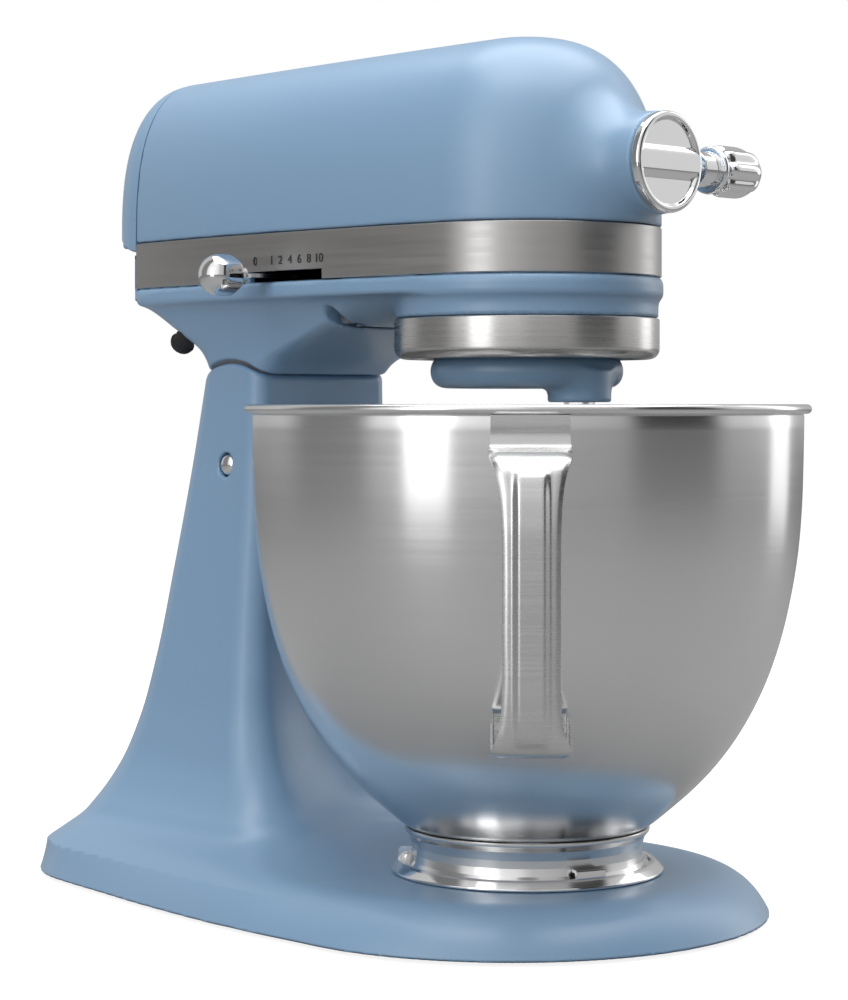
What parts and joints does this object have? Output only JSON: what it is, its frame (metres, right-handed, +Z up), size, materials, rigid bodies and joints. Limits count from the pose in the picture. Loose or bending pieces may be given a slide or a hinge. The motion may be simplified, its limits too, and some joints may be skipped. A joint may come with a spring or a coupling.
{
  "type": "stand mixer",
  "caption": "Tilt-head kitchen stand mixer with a handled steel bowl, planetary beater drive, attachment hub, side speed lever and a one-piece base and column.",
  "frame": {"origin": "on the table under the middle of the mixer's box", "axes": "+Z up, -Y towards the front (the nose and attachment hub), +X towards the side of the lock lever and attachment knob"},
  "size_m": [0.228, 0.352, 0.354],
  "materials": {
    "body_paint": "satin blue enamel",
    "polished_chrome": "polished",
    "band_steel": "brushed lengthwise",
    "bowl_steel": "brushed round the bowl",
    "foot_rubber": "matte",
    "gear_steel": "machined, oiled",
    "bronze": "sintered bronze",
    "lamination_iron": "stacked laminations",
    "copper": "turned copper",
    "black_plastic": "moulded",
    "beater_alloy": "burnished casting"
  },
  "bodies": {
    "pedestal": {"pedestal_casting": "body_paint", "foot_front": "foot_rubber", "foot_middle_left": "foot_rubber", "foot_middle_right": "foot_rubber", "foot_rear_left": "foot_rubber", "foot_rear_right": "foot_rubber", "bowl_clamp_plate": "polished_chrome", "clamp_screw_1": "gear_steel", "clamp_screw_2": "gear_steel", "clamp_screw_3": "gear_steel", "hinge_pin": "polished_chrome"},
    "head": {"gear_case": "body_paint", "motor_housing": "body_paint", "rear_cover": "body_paint", "cover_screw": "polished_chrome", "trim_band": "band_steel", "drip_ring": "band_steel", "field_stator": "lamination_iron", "ring_gear": "gear_steel", "shaft_bearing": "bronze", "front_bearing": "bronze", "rear_bearing": "bronze", "brush_left": "lamination_iron", "brush_right": "lamination_iron", "brush_holder_left": "bronze", "brush_holder_right": "bronze", "speed_plate": "black_plastic", "lever_pivot": "gear_steel", "cord_bush": "foot_rubber"},
    "speed_lever": {"speed_lever": "polished_chrome", "speed_knob": "polished_chrome"},
    "speed_link": {"speed_link": "gear_steel"},
    "lock_lever": {"lock_shaft": "gear_steel", "lock_knob": "polished_chrome"},
    "planetary": {"planetary_housing": "body_paint", "centre_shaft": "gear_steel", "centre_gear": "gear_steel", "centre_bevel": "gear_steel"},
    "beater": {"beater_shaft": "polished_chrome", "beater_pinion": "gear_steel", "beater_pin": "polished_chrome", "flat_beater": "beater_alloy"},
    "worm_gear": {"worm_wheel": "bronze", "drive_pinion": "gear_steel"},
    "armature": {"armature_core": "lamination_iron", "commutator": "copper", "cooling_fan": "black_plastic", "worm_shaft": "gear_steel"},
    "hub_drive": {"hub_gear": "gear_steel"},
    "hub_cap": {"hub_cap": "polished_chrome"},
    "attachment_knob": {"attachment_knob": "polished_chrome"},
    "bowl": {"bowl_shell": "bowl_steel", "bowl_foot": "bowl_steel", "bowl_handle": "polished_chrome", "handle_bracket": "polished_chrome"}
  },
  "joints": [
    {"name": "head_tilt", "type": "hinge", "parent": "pedestal", "child": "head", "pos_m": [0, 0.077, 0.1807], "axis": [-1, 0, 0], "range_deg": [0, 45]},
    {"name": "bowl_twist", "type": "hinge", "parent": "pedestal", "child": "bowl", "pos_m": [0, -0.062, 0.03], "axis": [0, 0, 1], "range_deg": [0, 25]},
    {"name": "planetary_spin", "type": "hinge", "parent": "head", "child": "planetary", "pos_m": [0, -0.062, 0.23], "axis": [0, 0, 1], "continuous": true},
    {"name": "beater_spin", "type": "hinge", "parent": "planetary", "child": "beater", "pos_m": [0, -0.09, 0.2], "axis": [0, 0, 1], "continuous": true},
    {"name": "worm_gear_spin", "type": "hinge", "parent": "head", "child": "worm_gear", "pos_m": [0.027, -0.0298, 0.3], "axis": [0, 0, 1], "continuous": true},
    {"name": "armature_spin", "type": "hinge", "parent": "head", "child": "armature", "pos_m": [0, 0.03, 0.302], "axis": [0, -1, 0], "continuous": true},
    {"name": "hub_drive_spin", "type": "hinge", "parent": "head", "child": "hub_drive", "pos_m": [0, -0.11, 0.3], "axis": [0, -1, 0], "continuous": true},
    {"name": "hub_cap_pull", "type": "slide", "parent": "head", "child": "hub_cap", "axis": [0, -1, 0], "range_m": [0, 0.02]},
    {"name": "attachment_knob_turn", "type": "hinge", "parent": "head", "child": "attachment_knob", "pos_m": [0.05, -0.123, 0.3], "axis": [1, 0, 0], "continuous": true},
    {"name": "speed_lever_swing", "type": "hinge", "parent": "head", "child": "speed_lever", "pos_m": [-0.005, 0.0165, 0.2596], "axis": [0, 0, 1], "range_deg": [0, 33.5]},
    {"name": "speed_link_slide", "type": "slide", "parent": "head", "child": "speed_link", "axis": [0, 1, 0], "range_m": [0, 0.003]},
    {"name": "lock_lever_turn", "type": "hinge", "parent": "head", "child": "lock_lever", "pos_m": [0.05, 0.004, 0.2428], "axis": [1, 0, 0], "range_deg": [0, 60]}
  ],
  "couplings": [
    {"joint": "beater_spin", "follows": "planetary_spin", "ratio": -3.3333},
    {"joint": "worm_gear_spin", "follows": "planetary_spin", "ratio": -3},
    {"joint": "armature_spin", "follows": "planetary_spin", "ratio": 18},
    {"joint": "hub_drive_spin", "follows": "planetary_spin", "ratio": 1.3636},
    {"joint": "speed_link_slide", "follows": "speed_lever_swing", "m_per_rad": 0.005}
  ]
}
